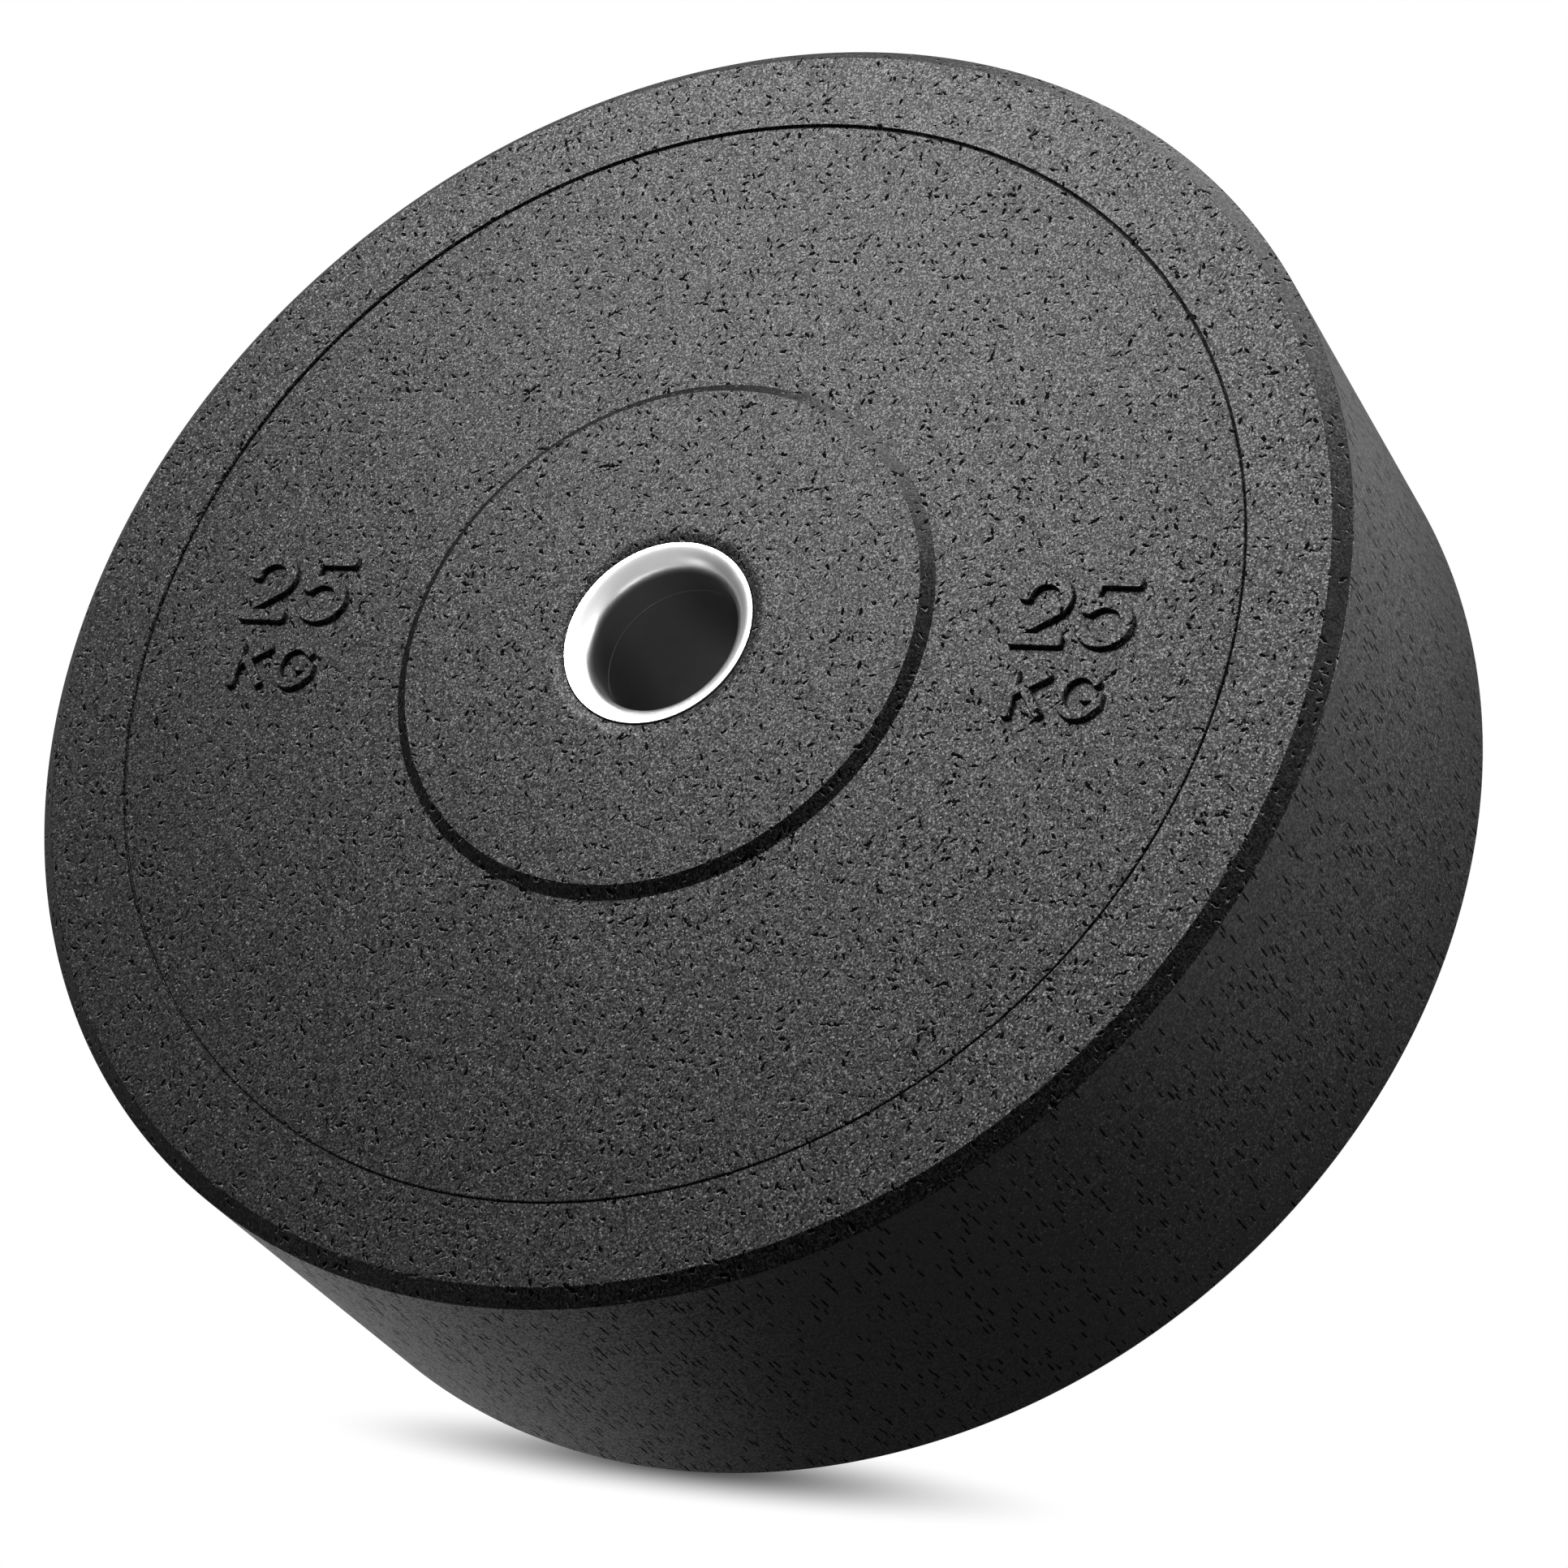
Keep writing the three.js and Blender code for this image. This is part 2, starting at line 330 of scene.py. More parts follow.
def mark_block():
    """The number with its unit under it, centred on the axis of the plate."""
    strokes = []
    for glyphs, size in (((figure_two, figure_five), NUMBER), ((letter_k, letter_g), UNIT)):
        pitch = size["width"] + size["gap"]
        length = len(glyphs) * pitch - size["gap"]
        for i, glyph in enumerate(glyphs):
            paths = glyph(
                size["width"], size["height"], size["stroke"] / 2, size["stroke"] * CORNER_SHARE
            )
            shift = (i * pitch - length / 2, size["baseline"])
            strokes += [stroke_solid(path, size["stroke"], shift) for path in paths]
    return combine(strokes[0], strokes[1:])


def placed_copy(source, matrix):
    made = source.copy()
    made.data = source.data.copy()
    made.data.transform(matrix)
    bpy.context.scene.collection.objects.link(made)
    return made


# Rubber disc

def dish():
    """The hub face dips towards the lip ring."""
    seat = LIP_RADIUS + FIT_GAP
    points = [(seat, HUB_FACE - DISH_DEPTH - DISH_LIP, 0)]
    for k in range(DISH_STEPS + 1):
        t = k / DISH_STEPS
        depth = DISH_DEPTH * (1 - t) ** 2
        points.append((seat + DISH_LIP + DISH_WIDTH * t, HUB_FACE - depth, 0))
    return points


def disc_profile():
    hole = SLEEVE_RADIUS + FIT_GAP
    base = HUB_FACE - ANCHOR_DEPTH
    plate_top = base + ANCHOR_THICKNESS
    edge_top = plate_top + ANCHOR_EDGE
    inner_edge = ANCHOR_RADIUS - ANCHOR_THICKNESS - FIT_GAP
    outer_edge = ANCHOR_RADIUS + FIT_GAP
    seat_floor = HUB_FACE - LIP_THICKNESS - FIT_GAP
    front = [
        (hole, base - FIT_GAP, 0),
        (outer_edge, base - FIT_GAP, 0),
        (outer_edge, edge_top + FIT_GAP, 0),
        (inner_edge, edge_top + FIT_GAP, 0),
        (inner_edge, plate_top + FIT_GAP, 0),
        (hole, plate_top + FIT_GAP, 0),
        (hole, seat_floor, 0),
        (LIP_RADIUS + FIT_GAP, seat_floor, 0),
        *dish(),
        (HUB_RADIUS, HUB_FACE, HUB_FILLET),
        (HUB_FOOT_RADIUS, WEB_FACE, HUB_FOOT_FILLET),
        (STEP_RADIUS - CREASE_WIDTH, WEB_FACE, CREASE_EDGE_FILLET),
        (STEP_RADIUS - CREASE_WIDTH / 2, WEB_FACE - CREASE_DEPTH, CREASE_FILLET),
        (STEP_RADIUS, RIM_FACE, BAND_FILLET),
        (DISC_RADIUS - BEVEL_WIDTH, RIM_FACE, BEVEL_FILLET),
        (DISC_RADIUS, RIM_FACE - BEVEL_DEPTH, WALL_FILLET),
    ]
    return rounded(both_faces(front))


def key_pins():
    """The rubber that fills the keying holes of both anchor plates."""
    inner = SLEEVE_RADIUS + FIT_GAP
    outer = ANCHOR_RADIUS - ANCHOR_THICKNESS
    ring = inner + (outer - inner) * KEY_RING_SHARE
    reach = ANCHOR_THICKNESS / 2 + KEY_OVERLAP
    turns = [2 * math.pi * k / KEY_STEPS for k in range(KEY_STEPS)]
    pins = []
    for side in (1, -1):
        middle = MIDDLE + side * (HUB_FACE - ANCHOR_DEPTH + ANCHOR_THICKNESS / 2)
        for i in range(KEY_COUNT):
            angle = 2 * math.pi * i / KEY_COUNT
            x = ring * math.cos(angle)
            y = ring * math.sin(angle)
            outline = [(x + KEY_RADIUS * math.cos(t), y + KEY_RADIUS * math.sin(t)) for t in turns]
            heights = (middle - reach, middle + reach)
            rings = [[(*point, height) for point in outline] for height in heights]
            pins.append(prism("pin", rings))
    return pins


def rubber_disc():
    disc = lathe("rubber_body_fine", disc_profile(), DISC_STEPS)
    block = mark_block()
    over = Matrix.Translation((0, 0, MIDDLE * MM)) @ Matrix.Rotation(math.pi, 4, "Y")
    over = over @ Matrix.Translation((0, 0, -MIDDLE * MM))
    marks = []
    for side in (1, -1):
        shift = Matrix.Translation((side * MARK_CENTRE * MM, 0, 0))
        marks += [placed_copy(block, shift), placed_copy(block, over @ shift)]
    bpy.data.objects.remove(block)
    return combine(disc, marks + key_pins())


# Steel insert

def sleeve():
    seat = SPIGOT_RADIUS + FIT_GAP
    end = HUB_FACE - LIP_THICKNESS - FIT_GAP
    floor = HUB_FACE - LIP_THICKNESS - SPIGOT_LENGTH - SEAM
    front = [
        (BORE_RADIUS, floor, BORE_FILLET),
        (seat, floor, 0),
        (seat, end, SEAT_FILLET),
        (SLEEVE_RADIUS, end, STEEL_FILLET),
    ]
    profile = rounded(both_faces(front))
    # Runs the other way round than the rest, so these faces point inwards
    return lathe("sleeve_tube_fine", profile[::-1], INSERT_STEPS)


def lip_profile():
    spigot_end = HUB_FACE - LIP_THICKNESS - SPIGOT_LENGTH
    base = HUB_FACE - LIP_THICKNESS
    rounding = LIP_RADIUS - BORE_RADIUS
    mouth = []
    for k in range(MOUTH_STEPS + 1):
        angle = k / MOUTH_STEPS * math.pi / 2
        mouth.append((
            LIP_RADIUS - rounding * math.cos(angle),
            HUB_FACE - rounding + rounding * math.sin(angle),
            0 if k < MOUTH_STEPS else LIP_EDGE_FILLET,
        ))
    return rounded([
        (BORE_RADIUS, spigot_end, BORE_FILLET),
        *mouth,
        (LIP_RADIUS, base, STEEL_FILLET),
        (SPIGOT_RADIUS, base, 0),
        (SPIGOT_RADIUS, spigot_end, STEEL_FILLET),
    ])


# Materials

class Shader:
    """A node tree for a material or the world, with short calls to add and link nodes."""

    def __init__(self, owner):
        owner.use_nodes = True
        self.tree = owner.node_tree
        self.tree.nodes.clear()

    def feed(self, socket, value):
        """Links the socket to another one, or sets it to a plain value."""
        if isinstance(value, bpy.types.NodeSocket):
            self.tree.links.new(value, socket)
        else:
            socket.default_value = value

    def add(self, kind, inputs=None, **settings):
        node = self.tree.nodes.new(kind)
        for name, value in settings.items():
            setattr(node, name, value)
        for name, value in (inputs or {}).items():
            self.feed(node.inputs[name], value)
        return node

    def math(self, operation, first, second=0.0, clamp=False):
        node = self.add("ShaderNodeMath", {0: first, 1: second}, operation=operation)
        node.use_clamp = clamp
        return node.outputs[0]

    def vector(self, operation, first, second=None, scale=None):
        node = self.add("ShaderNodeVectorMath", {0: first}, operation=operation)
        if second is not None:
            self.feed(node.inputs[1], second)
        if scale is not None:
            self.feed(node.inputs["Scale"], scale)
        return node.outputs["Value" if operation in ("LENGTH", "DOT_PRODUCT") else "Vector"]

    def ramp(self, value, low, high, to_low=0.0, to_high=1.0, smooth=True):
        """Goes from to_low to to_high as the value goes from low to high."""
        limits = {"From Min": low, "From Max": high, "To Min": to_low, "To Max": to_high}
        node = self.add("ShaderNodeMapRange", {"Value": value, **limits})
        node.interpolation_type = "SMOOTHSTEP" if smooth else "LINEAR"
        return node.outputs["Result"]

    def mix(self, share, first, second):
        """The first value where the share is 0, the second where it is 1."""
        node = self.add("ShaderNodeMix", data_type="FLOAT")
        for socket, value in zip(node.inputs[0:1] + node.inputs[2:4], (share, first, second)):
            self.feed(socket, value)
        return node.outputs[0]

    def noise(self, vector, scale, detail=2.0, roughness=0.5):
        node = self.add(
            "ShaderNodeTexNoise",
            {"Vector": vector, "Scale": scale, "Detail": detail, "Roughness": roughness},
            noise_dimensions="3D",
        )
        return node.outputs

    def cells(self, vector, scale):
        node = self.add(
            "ShaderNodeTexVoronoi",
            {"Vector": vector, "Scale": scale, "Randomness": 1.0},
            voronoi_dimensions="3D",
            feature="F1",
        )
        return node.outputs

    def grey(self, value):
        node = self.add("ShaderNodeCombineColor", {0: value, 1: value, 2: value})
        return node.outputs[0]

    def place(self):
        """The position on the part in millimetres."""
        return self.vector("SCALE", self.add("ShaderNodeTexCoord").outputs["Object"], scale=1 / MM)

    def flat(self, parts):
        """The position without its height, which points away from the axis."""
        node = self.add("ShaderNodeCombineXYZ", {0: parts[0], 1: parts[1], 2: 0.0})
        return node.outputs[0]


# Kinds of small slits, in millimetres. The place is stretched before it is cut into cells
# pitch wide. half_axes are those of the largest slit, least and most the range of sizes,
# below 0 for none. Edges are compared along edge, which points towards the light, for the
# painted shade and painted highlight of the edges; bend is how much the rows waver.
FINE_PITS = {
    "stretch": (1, 1, 1),
    "spin": True,
    "edge": (0, 1, 0),
    "pitch": 3.1,
    "half_axes": (1.25, 0.47, 1.8),
    "least": -0.1,
    "most": 1.25,
    "bend": 1.8,
    "seed": 11,
}
LONG_PITS = {
    "stretch": (1, 1, 1),
    "spin": True,
    "edge": (0, 1, 0),
    "pitch": 7.5,
    "half_axes": (2.8, 0.52, 2.8),
    "least": -0.5,
    "most": 1.1,
    "bend": 3.2,
    "seed": 37,
}
WALL_PITS = {
    "stretch": (1, 0.3, 0.55),
    "spin": False,
    "edge": (0, 0, 1),
    "pitch": 3.4,
    "half_axes": (0.37, 2.4, 1.75),
    "least": -0.1,
    "most": 1.2,
    "bend": 1.0,
    "seed": 71,
}
# Width of a slit's soft margin as a share of its size, distance at which its edges are
# compared, and number of wavers in a millimetre
PIT_MARGIN = 0.2
EDGE_STEP = 0.25
WAVER_SCALE = 0.8
HALF = (0.5, 0.5, 0.5)


def pits(shader, place, stretch, spin, edge, pitch, half_axes, least, most, bend, seed):
    """Scattered small slits: one in most cells, each with its own turn and size.

    Gives the slit itself, and the painted shade and painted highlight of its two edges."""
    warp = shader.noise(place, WAVER_SCALE, 2.0, 0.6)[1]
    warp = shader.vector("SUBTRACT", warp, HALF)
    moved = shader.vector("ADD", place, shader.vector("SCALE", warp, scale=bend))
    moved = shader.vector("MULTIPLY", moved, stretch)
    moved = shader.vector("SCALE", moved, scale=1 / pitch)
    moved = shader.vector("ADD", moved, (seed, seed, seed))
    cells = shader.cells(moved, 1.0)
    local = shader.vector("SUBTRACT", moved, cells["Position"])
    random = shader.add("ShaderNodeSeparateColor", {0: cells["Color"]}).outputs
    angle = shader.math("MULTIPLY", random[0], 2 * math.pi)
    size = shader.ramp(random[1], 0.0, 1.0, least, most, smooth=False)
    depths = []
    for step in (0.0, -EDGE_STEP, EDGE_STEP):
        here = local
        if step:
            here = shader.vector("ADD", here, tuple(step / pitch * part for part in edge))
        if spin:
            here = shader.add(
                "ShaderNodeVectorRotate", {"Vector": here, "Angle": angle}, rotation_type="Z_AXIS"
            ).outputs[0]
        here = shader.vector("MULTIPLY", here, tuple(pitch / part for part in half_axes))
        room = shader.math("SUBTRACT", size, shader.vector("LENGTH", here))
        depths.append(shader.ramp(room, 0.0, PIT_MARGIN))
    # The second and third values are the painted shade and painted highlight of the edges
    return (
        depths[0],
        shader.math("SUBTRACT", depths[1], depths[2], clamp=True),
        shader.math("SUBTRACT", depths[2], depths[1], clamp=True),
    )


# Numbers of crumbs, coarse lumps and broad clouds in a millimetre
CRUMBS = 2.0
CRUMB_STRETCH = (1, 1, 0.7)
COARSE = 0.33
BROAD = 0.022

# How far the surface faces up or down where the wall turns into the face, and where a
# slope turns level
FACE_BAND = (0.25, 0.55)
LEVEL_BAND = (0.82, 0.96)

# Tilt of the crumbs, and the tone of the lightest crumbs, with painted shade on the slopes,
# in the pits and on one edge of each pit, and a painted highlight on the other edge. Coarse
# and broad noise from low to high changes the tone by the shares that follow.
WALL_TILT = 0.52
FACE_TILT = 0.17
DARKEST = 0.001
WALL_SHADE = 0.047
# Painted shade: slopes are drawn darker than level faces
PAINTED_SLOPE_SHADE = 0.018
FACE_SHADE = 0.036
NOISE_BAND = (0.3, 0.7)
COARSE_SHARES = (0.85, 1.15)
BROAD_SHARES = (0.95, 1.05)
PAINTED_EDGE_HIGHLIGHT = 0.16
HOLE_WEIGHT = 0.8
DARK_AT = 0.6
PIT_PAINTED_SHADE = 0.02

# Gloss and roughness of the dullest and shiniest crumb, and of the pits
LEAST_GLOSS = 0.16
MOST_GLOSS = 0.87
DULL_CRUMB = 0.36
SHINY_CRUMB = 0.26
PIT_ROUGHNESS = 0.6
RUBBER_SPECULAR = 0.2

# Heights of the lumps and depth of the pits in millimetres
CRUMB_RELIEF = 0.10
PIT_RELIEF = 0.35


def crumb_rubber():
    material = bpy.data.materials.new("crumb_rubber")
    shader = Shader(material)
    place = shader.place()
    normal = shader.add("ShaderNodeNewGeometry").outputs["Normal"]
    up = shader.math("ABSOLUTE", shader.add("ShaderNodeSeparateXYZ", {0: normal}).outputs[2])
    face = shader.ramp(up, *FACE_BAND)

    # Crumbs, each with its own shade and tilt
    crumbs = shader.cells(shader.vector("MULTIPLY", place, CRUMB_STRETCH), CRUMBS)["Color"]
    shade = shader.add("ShaderNodeSeparateColor", {0: crumbs}).outputs[2]
    tilt = shader.vector("SUBTRACT", crumbs, HALF)
    tilt = shader.vector("SCALE", tilt, scale=shader.mix(face, WALL_TILT, FACE_TILT))
    facets = shader.vector("NORMALIZE", shader.vector("ADD", normal, tilt))
    coarse = shader.noise(place, COARSE, 2.0, 0.5)[0]
    broad = shader.noise(place, BROAD, 3.0, 0.5)[0]

    # Slits and pits between the crumbs, on the wall in its unrolled plane
    parts = shader.add("ShaderNodeSeparateXYZ", {0: place}).outputs
    round_angle = shader.math("ARCTAN2", parts[1], parts[0])
    unrolled = shader.add(
        "ShaderNodeCombineXYZ",
        {
            0: shader.math("MULTIPLY", round_angle, DISC_RADIUS),
            1: shader.vector("LENGTH", shader.flat(parts)),
            2: parts[2],
        },
    ).outputs[0]
    fine = pits(shader, place, **FINE_PITS)
    long = pits(shader, place, **LONG_PITS)
    wall = pits(shader, unrolled, **WALL_PITS)
    hole, painted_edge_shade, lit = [
        shader.mix(face, w, shader.math("MAXIMUM", f, g))
        for f, g, w in zip(fine, long, wall)
    ]

    # Colour: nearly black rubber and lighter crumbs; the holes and one edge of each are painted
    # dark as shade, and the other edge gets a painted highlight
    spread = shader.math("POWER", shade, 2.0)
    dark = shader.math("ADD", shader.math("MULTIPLY", hole, HOLE_WEIGHT), painted_edge_shade)
    painted_pit_shade = shader.ramp(dark, 0.0, DARK_AT, 1.0, PIT_PAINTED_SHADE, smooth=False)
    # Slopes are painted darker than level faces: painted shade
    level = shader.ramp(up, *LEVEL_BAND, PAINTED_SLOPE_SHADE, FACE_SHADE)
    value = shader.mix(spread, DARKEST, shader.mix(face, WALL_SHADE, level))
    value = shader.math("MULTIPLY", value, shader.ramp(coarse, *NOISE_BAND, *COARSE_SHARES))
    value = shader.math("MULTIPLY", value, shader.ramp(broad, *NOISE_BAND, *BROAD_SHARES))
    # Painted highlight on the lit edge of each pit
    value = shader.math("ADD", value, shader.math("MULTIPLY", lit, PAINTED_EDGE_HIGHLIGHT))
    value = shader.math("MULTIPLY", value, painted_pit_shade)
    gloss = shader.mix(spread, LEAST_GLOSS, MOST_GLOSS)
    # The painted shade of the pits takes their gloss away too
    gloss = shader.math("MULTIPLY", gloss, painted_pit_shade)

    # Relief in millimetres
    relief = shader.math("MULTIPLY", coarse, CRUMB_RELIEF)
    relief = shader.math("SUBTRACT", relief, shader.math("MULTIPLY", hole, PIT_RELIEF))
    bump = shader.add(
        "ShaderNodeBump", {"Height": relief, "Strength": 1.0, "Distance": MM, "Normal": facets}
    )

    roughness = shader.mix(spread, DULL_CRUMB, SHINY_CRUMB)
    pitted = shader.math("MULTIPLY", hole, PIT_ROUGHNESS)
    surface = shader.add(
        "ShaderNodeBsdfPrincipled",
        {
            "Base Color": shader.grey(value),
            "Roughness": shader.math("ADD", roughness, pitted, clamp=True),
            "Specular IOR Level": RUBBER_SPECULAR,
            "Specular Tint": shader.grey(gloss),
            "Normal": bump.outputs[0],
        },
    )
    shader.add("ShaderNodeOutputMaterial", {"Surface": surface.outputs[0]})
    return material


# Where the polish of the mouth fades into the steel of the bore: heights above its foot,
# radii beyond the bore. The fade reaches up the mouth, where the darker colour is painted shade.
FADE_HEIGHTS = (-0.5, 3.2)
FADE_RADII = (0.8, 2.0)

# Numbers of turning lines and smudges in a millimetre, and what they do to the steel
TURNING = 6.0
SMUDGES = 0.12
TURNING_SHARES = (0.94, 1.0)
SMUDGE_BAND = (0.35, 0.7)
SMUDGE_SHARES = (1.0, 0.95)
WORN_BAND = (0.45, 0.8)
WORN_ROUGHNESS = 0.06
COOL_TINT = 1.01


def turned_steel(name, colour, least, most, lines, bore=None):
    """Steel with fine turning lines round the axis and faint marks of handling.

    Its roughness goes from least to most, and its lines stand up by that many millimetres.
    With bore, the polish of the mouth fades into that colour and roughness in the bore; the
    darker colour on the lower mouth is painted shade."""
    material = bpy.data.materials.new(name)
    shader = Shader(material)
    place = shader.place()
    parts = shader.add("ShaderNodeSeparateXYZ", {0: place}).outputs
    radius = shader.vector("LENGTH", shader.flat(parts))
    section = shader.add("ShaderNodeCombineXYZ", {0: radius, 1: parts[2], 2: 0.0}).outputs[0]
    turning = shader.noise(section, TURNING, 4.0, 0.7)[0]
    smudge = shader.noise(place, SMUDGES, 3.0, 0.55)[0]
    if bore:
        height = shader.math("ABSOLUTE", shader.math("SUBTRACT", parts[2], MIDDLE))
        deep = shader.ramp(height, *[MOUTH_FOOT + h for h in FADE_HEIGHTS], 1.0, 0.0)
        inner = shader.ramp(radius, *[BORE_RADIUS + r for r in FADE_RADII], 1.0, 0.0)
        bore_steel_and_shade = shader.math("MULTIPLY", deep, inner)
        # Darker towards the bore: the bore's own steel, and painted shade up the mouth
        colour = shader.mix(bore_steel_and_shade, colour, bore[0])
    turned = shader.ramp(turning, *NOISE_BAND, *TURNING_SHARES, smooth=False)
    value = shader.math("MULTIPLY", turned, colour)
    value = shader.math("MULTIPLY", value, shader.ramp(smudge, *SMUDGE_BAND, *SMUDGE_SHARES))
    blue = shader.math("MULTIPLY", value, COOL_TINT, clamp=True)
    tint = shader.add("ShaderNodeCombineColor", {0: value, 1: value, 2: blue})
    roughness = shader.ramp(turning, *NOISE_BAND, least, most)
    if bore:
        roughness = shader.mix(bore_steel_and_shade, roughness, bore[1])
    worn = shader.ramp(smudge, *WORN_BAND, 0.0, WORN_ROUGHNESS)
    roughness = shader.math("ADD", roughness, worn)
    relief = shader.math("MULTIPLY", turning, lines)
    bump = shader.add("ShaderNodeBump", {"Height": relief, "Strength": 1.0, "Distance": MM})
    surface = shader.add(
        "ShaderNodeBsdfPrincipled",
        {
            "Base Color": tint.outputs[0],
            "Metallic": 1.0,
            "Roughness": roughness,
            "Normal": bump.outputs[0],
        },
    )
    shader.add("ShaderNodeOutputMaterial", {"Surface": surface.outputs[0]})
    return material


def dress(piece, material, slot, *nodes):
    piece.data.materials.clear()
    piece.data.materials.append(material)
    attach(piece, "root")
    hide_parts(*nodes)


rubber = crumb_rubber()
polished = turned_steel(
    "polished_steel", colour=0.92, least=0.27, most=0.33, lines=0.001, bore=(0.42, 0.4)
)
drawn = turned_steel("drawn_steel", colour=0.42, least=0.34, most=0.46, lines=0.004)
plain = turned_steel("plain_steel", colour=0.50, least=0.40, most=0.55, lines=0.006)

disc = rubber_disc()
shade(disc, DISC_SHARP)
dress(disc, rubber, "crumb_rubber", "rubber_body")

tube = sleeve()
shade(tube, DISC_SHARP)
dress(tube, drawn, "sleeve_steel", "sleeve_tube")

front_lip = lathe("front_lip_ring_fine", lip_profile(), INSERT_STEPS)
shade(front_lip, LIP_SHARP)
dress(front_lip, polished, "polished_steel", "front_lip_ring")

mirrored = [(r, -z) for r, z in reversed(lip_profile())]
back_lip = lathe("back_lip_ring_fine", mirrored, INSERT_STEPS)
shade(back_lip, LIP_SHARP)
dress(back_lip, polished, "polished_steel", "back_lip_ring")

for name in ("front_anchor_plate", "back_anchor_plate"):
    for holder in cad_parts[name].material_slots:
        holder.material = plain


# Floor, world and lamps

HALF_FLOOR = 6000
FLOOR_DROP = 0.1

# Sides of the plate, as directions from its axis. With each comes a band: the first cosine
# is where the side begins, the second where it is reached in full.
BACK_SIDE = (-0.766, 0.643, 0.0)
BACK_BAND = (0.3, 0.95)
LEFT_SIDE = (-0.57, -0.82, 0.0)
LEFT_BAND = (0.65, 1.0)
RIGHT_SIDE = (0.985, 0.17, 0.0)
RIGHT_BAND = (0.6, 0.95)

# Painted shadow on the floor: a soft patch, and a contact shadow that reaches out behind the
# plate, painted by dimming the floor's white towards the camera
PAINTED_SHADOW_CENTRE = (3.0, -220.8, 0.0)
PAINTED_SHADOW_SIZE = (142.0, 12.7, 1.0)
PAINTED_SHADOW_CORE = 0.05
CONTACT_RADIUS = DISC_RADIUS - 5
CONTACT_REACH = 1.5
BACK_REACH = 50.0
SHADOW_WHITE = 0.06
SHADOW_PAPER = 0.6

# What the floor sends to glossy surfaces: by the plate, on two of its sides, and far away
NEAR_GLOW = 0.13
LEFT_GLOW = 0.48
RIGHT_GLOW = 0.85
RIGHT_GLOW_RADII = (240.0, 320.0)
FAR_GLOW = 0.15
FAR_RADII = (300.0, 450.0)

# How pale the floor is to light that bounces off it, and the faint clouds of its paper
BOUNCE = 0.15
PAPER_SCALE = 0.01
PAPER_SHARES = (0.98, 1.0)


def floor_material():
    """Pale floor. Towards the camera it is white, but for a painted shadow close to the plate,
    where the lamps' own shadow also shows.
    """
    material = bpy.data.materials.new("floor")
    shader = Shader(material)
    place = shader.place()
    path = shader.add("ShaderNodeLightPath").outputs
    seen = path["Is Camera Ray"]
    reflected = shader.math("MAXIMUM", path["Is Glossy Ray"], path["Is Transmission Ray"])
    flat = shader.flat(shader.add("ShaderNodeSeparateXYZ", {0: place}).outputs)
    radius = shader.vector("LENGTH", flat)
    heading = shader.vector("NORMALIZE", flat)

    behind = shader.vector("DOT_PRODUCT", heading, BACK_SIDE)
    reach = shader.ramp(behind, *BACK_BAND, CONTACT_REACH, BACK_REACH)
    out = shader.math("DIVIDE", shader.math("SUBTRACT", radius, CONTACT_RADIUS), reach)
    painted_shadow = shader.vector("SUBTRACT", flat, PAINTED_SHADOW_CENTRE)
    painted_shadow = shader.vector("LENGTH", shader.vector("DIVIDE", painted_shadow, PAINTED_SHADOW_SIZE))
    painted_shadow = shader.ramp(painted_shadow, PAINTED_SHADOW_CORE, 1.0)
    # Painted shadow: where clear falls below 1, the floor's white is dimmed
    clear = shader.math("MINIMUM", shader.ramp(out, 0.0, 1.0), painted_shadow)

    left = shader.vector("DOT_PRODUCT", heading, LEFT_SIDE)
    left = shader.ramp(left, *LEFT_BAND, NEAR_GLOW, LEFT_GLOW)
    right = shader.vector("DOT_PRODUCT", heading, RIGHT_SIDE)
    right = shader.ramp(right, *RIGHT_BAND, 0.0, RIGHT_GLOW)
    right = shader.math("MULTIPLY", right, shader.ramp(radius, *RIGHT_GLOW_RADII))
    near = shader.math("ADD", left, right)
    glow = shader.mix(shader.ramp(radius, *FAR_RADII), near, FAR_GLOW)
    glow = shader.math("MULTIPLY", reflected, glow)
    # To the camera the white is dimmed by the painted shadow; glossy rays see the glow
    white = shader.mix(seen, glow, shader.mix(clear, SHADOW_WHITE, 1.0))

    paper = shader.noise(place, PAPER_SCALE, 2.0, 0.5)[0]
    value = shader.ramp(paper, *NOISE_BAND, *PAPER_SHARES, smooth=False)
    lit = shader.mix(seen, BOUNCE, shader.mix(clear, SHADOW_PAPER, 0.0))
    value = shader.math("MULTIPLY", value, lit)
    matte = shader.add("ShaderNodeBsdfDiffuse", {"Color": shader.grey(value), "Roughness": 0.5})
    light = shader.add("ShaderNodeEmission", {"Color": (1, 1, 1, 1), "Strength": white})
    both = shader.add("ShaderNodeAddShader", {0: matte.outputs[0], 1: light.outputs[0]})

    # From below the floor can't be seen
    gone = shader.add("ShaderNodeBsdfTransparent")
    under = shader.add("ShaderNodeNewGeometry").outputs["Backfacing"]
    sided = shader.add(
        "ShaderNodeMixShader", {0: under, 1: both.outputs[0], 2: gone.outputs[0]}
    )
    shader.add("ShaderNodeOutputMaterial", {"Surface": sided.outputs[0]})
    return material


corners = [(-1, -1), (1, -1), (1, 1), (-1, 1)]
floor = mesh_object(
    "floor", [(HALF_FLOOR * x, HALF_FLOOR * y, -FLOOR_DROP) for x, y in corners], [(0, 1, 2, 3)]
)
floor.data.materials.append(floor_material())

# The world is white to the camera, dim as a light, and a pale uneven sky in reflections
AMBIENT = 0.06
SKY = 0.55
SKY_SIDE = (0.66, 0.66, 0.34)
SKY_BAND = (0.3, 0.85)
DIM_SIDE = (-0.97, 0.25, 0.0)
DIM_BAND = (0.3, 0.8)
DIM_SHARE = 0.35
GLINT_SIDE = (-0.69, -0.67, 0.27)
GLINT_BAND = (0.955, 0.985)

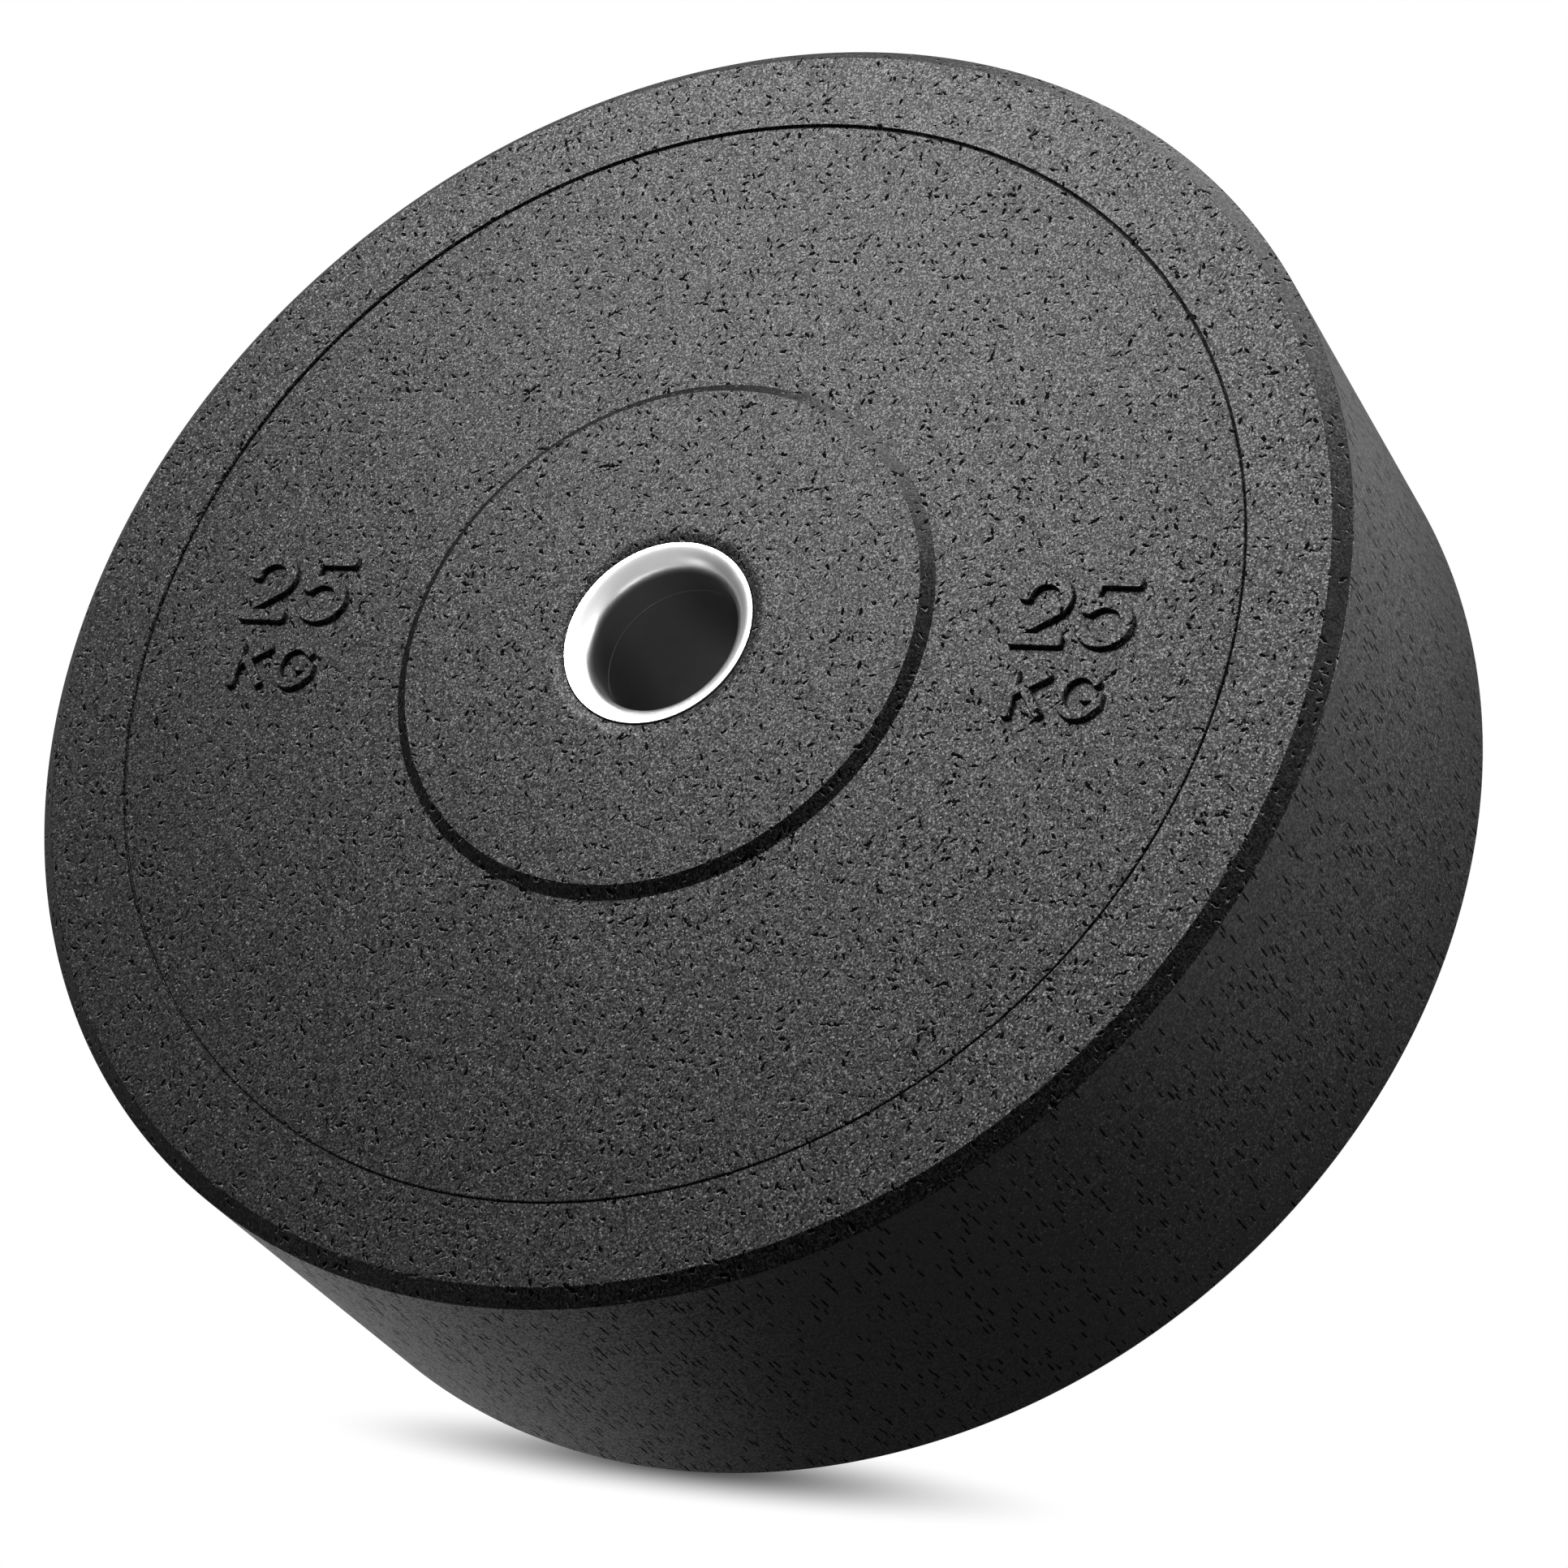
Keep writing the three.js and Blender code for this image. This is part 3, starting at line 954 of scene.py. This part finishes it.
world = bpy.data.worlds.new("studio")
bpy.context.scene.world = world
shader = Shader(world)
path = shader.add("ShaderNodeLightPath").outputs
ahead = shader.add("ShaderNodeTexCoord").outputs["Generated"]
side = shader.vector("DOT_PRODUCT", ahead, SKY_SIDE)
sky = shader.ramp(side, *SKY_BAND, SKY, 1.0)
away = shader.vector("DOT_PRODUCT", ahead, DIM_SIDE)
sky = shader.math("MULTIPLY", sky, shader.ramp(away, *DIM_BAND, 1.0, DIM_SHARE))
glint = shader.vector("DOT_PRODUCT", ahead, GLINT_SIDE)
sky = shader.math("MAXIMUM", sky, shader.ramp(glint, *GLINT_BAND))
strength = shader.mix(path["Is Glossy Ray"], AMBIENT, sky)
seen = shader.math("MAXIMUM", path["Is Camera Ray"], path["Is Transmission Ray"])
strength = shader.mix(seen, strength, 1.0)
background = shader.add("ShaderNodeBackground", {"Color": (1, 1, 1, 1), "Strength": strength})
shader.add("ShaderNodeOutputWorld", {"Surface": background.outputs[0]})

# Each lamp: compass angle and elevation from the middle of the rim's plane, in degrees,
# then distance and size in millimetres, and power in watts
LAMPS = {
    "key": (126, 48, 2500, 1050, 87.0),
    "window": (79, 11, 1417, 1450, 30.0),
    "edge": (24, 3, 1052, 260, 9.6),
}


def lamp(name, compass, elevation, distance, size, power):
    light = bpy.data.lights.new(name, "AREA")
    light.shape = "DISK"
    light.size = size * MM
    light.energy = power
    made = bpy.data.objects.new(name, light)
    a = math.radians(compass)
    e = math.radians(elevation)
    away = Vector((math.cos(a) * math.cos(e), math.sin(a) * math.cos(e), math.sin(e)))
    made.location = (Vector((0, 0, MIDDLE + RIM_FACE)) + away * distance) * MM
    made.rotation_mode = "QUATERNION"
    made.rotation_quaternion = away.to_track_quat("Z", "Y")
    made.visible_camera = False
    bpy.context.scene.collection.objects.link(made)


for name, facts in LAMPS.items():
    lamp(name, *facts)

# Camera at the photograph's viewing angle
CAMERA_LENS = 109.88
SENSOR_WIDTH = 36
CAMERA_PLACE = Vector((734.97, -621.75, 1302.35))
CAMERA_RIGHT = (0.8840783, 0.25006718, -0.39480624)
CAMERA_TOP = (-0.04311162, 0.88483369, 0.4639081)
CAMERA_BEHIND = (0.46534605, -0.39311035, 0.79304307)

camera_data = bpy.data.cameras.new("camera")
camera_data.lens = CAMERA_LENS
camera_data.sensor_width = SENSOR_WIDTH
camera_data.clip_start = 0.05
camera_data.clip_end = 40
camera = bpy.data.objects.new("camera", camera_data)
turn = Matrix((CAMERA_RIGHT, CAMERA_TOP, CAMERA_BEHIND)).transposed()
camera.matrix_world = Matrix.Translation(CAMERA_PLACE * MM) @ turn.to_4x4()
bpy.context.scene.collection.objects.link(camera)
bpy.context.scene.camera = camera

bpy.context.scene.view_settings.view_transform = "Standard"
